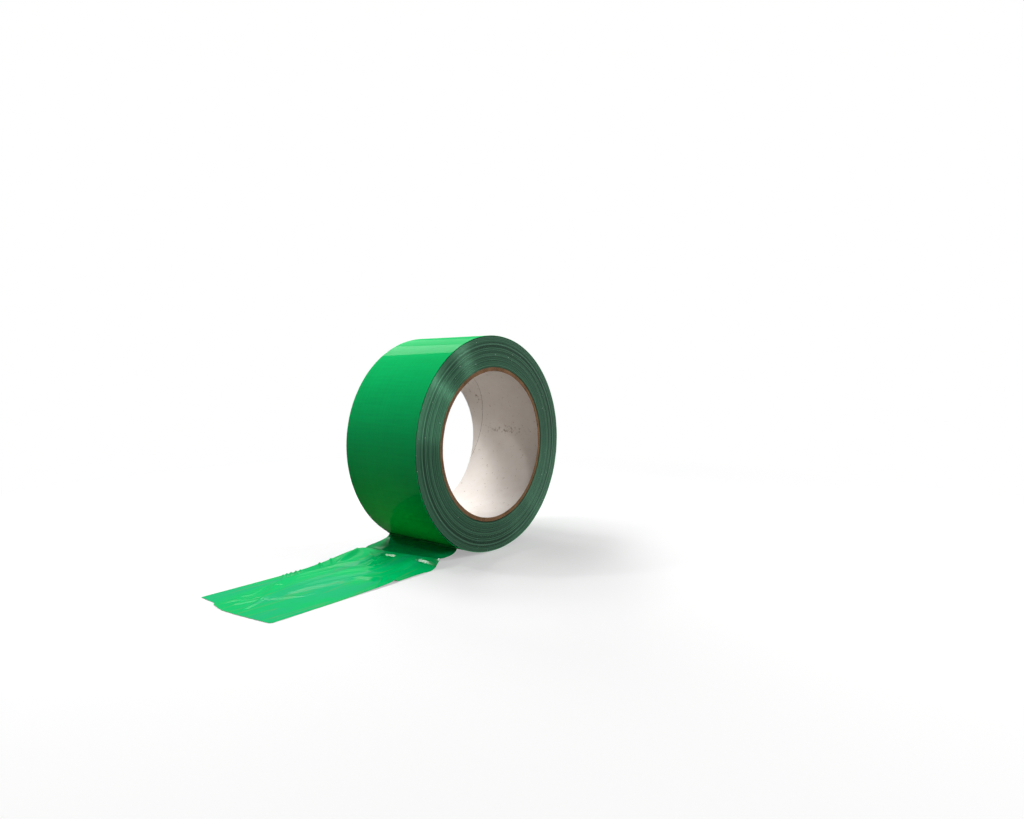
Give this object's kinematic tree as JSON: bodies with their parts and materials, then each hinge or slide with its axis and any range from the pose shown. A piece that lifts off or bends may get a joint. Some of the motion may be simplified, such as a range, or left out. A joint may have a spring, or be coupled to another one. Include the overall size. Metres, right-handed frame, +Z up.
{
  "type": "tape roll",
  "caption": "Roll of wide glossy packing tape wound on a paper core, standing on its rim, with a peeled tail of film lying on the table.",
  "frame": {"origin": "centre of the core's bore, at the middle of the tape's width", "axes": "+Z up from the table that the roll stands on, Y along the core's axis, with the tail lying towards -X"},
  "size_m": [0.1918, 0.05, 0.1127],
  "materials": {
    "liner_paper": "white uncoated paper, lightly scuffed",
    "core_board": "brown recycled board, cut edge",
    "wound_edge": "slit edges of wound film, fine rings",
    "tape_film": "glossy green film, pigmented adhesive behind it"
  },
  "bodies": {
    "peeled_film": {"tail_root": "tape_film"},
    "roll": {"core_liner": "liner_paper", "core_inner_ply": "core_board", "core_middle_ply": "core_board", "core_outer_ply": "core_board", "tape_pack": "wound_edge", "outer_turn": "tape_film"},
    "end_near": {"tail_near": "tape_film"},
    "end_mid": {"tail_mid": "tape_film"},
    "end_tip": {"tail_tip": "tape_film"}
  },
  "joints": [
    {"name": "roll_spin", "type": "hinge", "parent": "peeled_film", "child": "roll", "pos_m": [0, 0, 0], "axis": [0, 1, 0], "continuous": true},
    {"name": "tail_lift", "type": "hinge", "parent": "peeled_film", "child": "end_near", "pos_m": [-0.09316, 0, -0.0559], "axis": [0, 1, 0], "range_deg": [0, 35]},
    {"name": "tail_curl_mid", "type": "hinge", "parent": "end_near", "child": "end_mid", "pos_m": [-0.10616, 0, -0.0559], "axis": [0, 1, 0], "range_deg": [0, 35]},
    {"name": "tail_curl_tip", "type": "hinge", "parent": "end_mid", "child": "end_tip", "pos_m": [-0.11916, 0, -0.0559], "axis": [0, 1, 0], "range_deg": [0, 35]}
  ],
  "couplings": [
    {"joint": "tail_curl_mid", "follows": "tail_lift", "ratio": 1},
    {"joint": "tail_curl_tip", "follows": "tail_lift", "ratio": 1}
  ]
}
